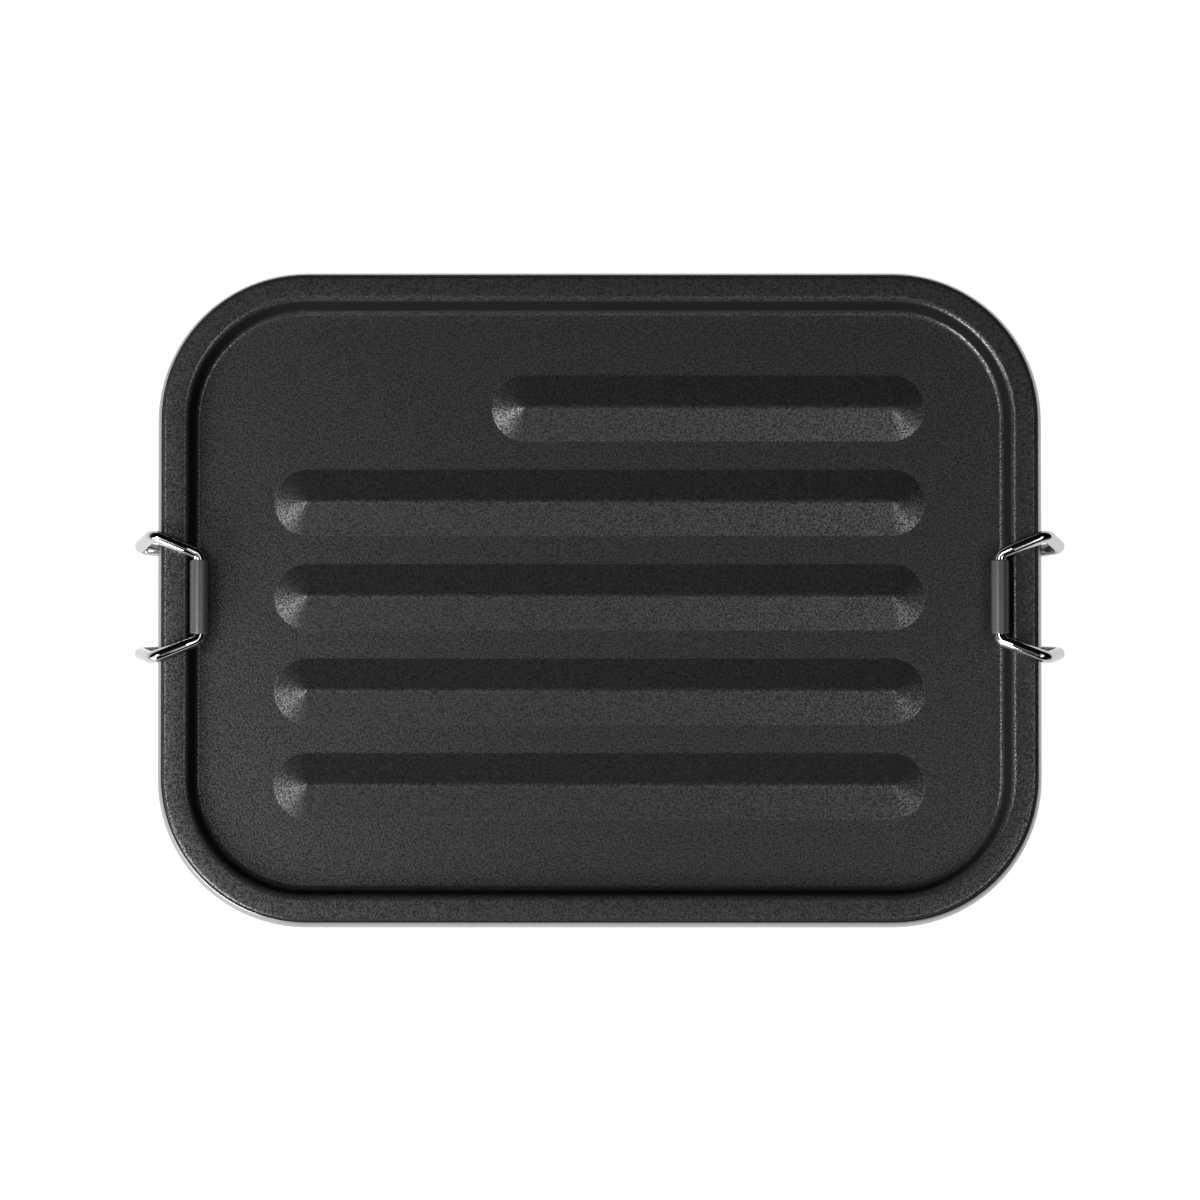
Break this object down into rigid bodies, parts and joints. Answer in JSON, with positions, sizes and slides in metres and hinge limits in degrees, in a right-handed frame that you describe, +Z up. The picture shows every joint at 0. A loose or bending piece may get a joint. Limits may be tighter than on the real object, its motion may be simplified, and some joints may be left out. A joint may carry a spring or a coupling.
{
  "type": "metal lunch box",
  "caption": "Rounded rectangular aluminium lunch box with a ridged black lid, a seal, and a swinging wire clip over each short side.",
  "frame": {"origin": "middle of the box on the surface that it stands on", "axes": "+X along the length, from the left clip to the right clip; +Y towards the rear, where the short ridge is; +Z up through the lid"},
  "size_m": [0.1812, 0.128, 0.0652],
  "materials": {
    "box_aluminium": "satin drawn aluminium",
    "lid_coating": "finely textured semi-gloss coating on aluminium",
    "seal_rubber": "matte silicone",
    "hinge_steel": "stamped stainless steel",
    "rivet_aluminium": "satin",
    "clip_steel": "polished stainless wire",
    "sleeve_plastic": "smooth satin tube"
  },
  "bodies": {
    "box": {"box_body": "box_aluminium", "left_hinge_plate": "hinge_steel", "right_hinge_plate": "hinge_steel", "left_front_rivet": "rivet_aluminium", "left_rear_rivet": "rivet_aluminium", "right_front_rivet": "rivet_aluminium", "right_rear_rivet": "rivet_aluminium"},
    "lid": {"lid": "lid_coating", "lid_seal": "seal_rubber"},
    "left_clip": {"left_clip_wire": "clip_steel", "left_clip_sleeve": "sleeve_plastic"},
    "right_clip": {"right_clip_wire": "clip_steel", "right_clip_sleeve": "sleeve_plastic"}
  },
  "joints": [
    {"name": "lid_lift", "type": "slide", "parent": "box", "child": "lid", "axis": [0, 0, 1], "range_m": [0, 0.12]},
    {"name": "left_clip_swing", "type": "hinge", "parent": "box", "child": "left_clip", "pos_m": [-0.08401, 0, 0.0537], "axis": [0, -1, 0], "range_deg": [0, 125]},
    {"name": "right_clip_swing", "type": "hinge", "parent": "box", "child": "right_clip", "pos_m": [0.08401, 0, 0.0537], "axis": [0, 1, 0], "range_deg": [0, 125]}
  ]
}
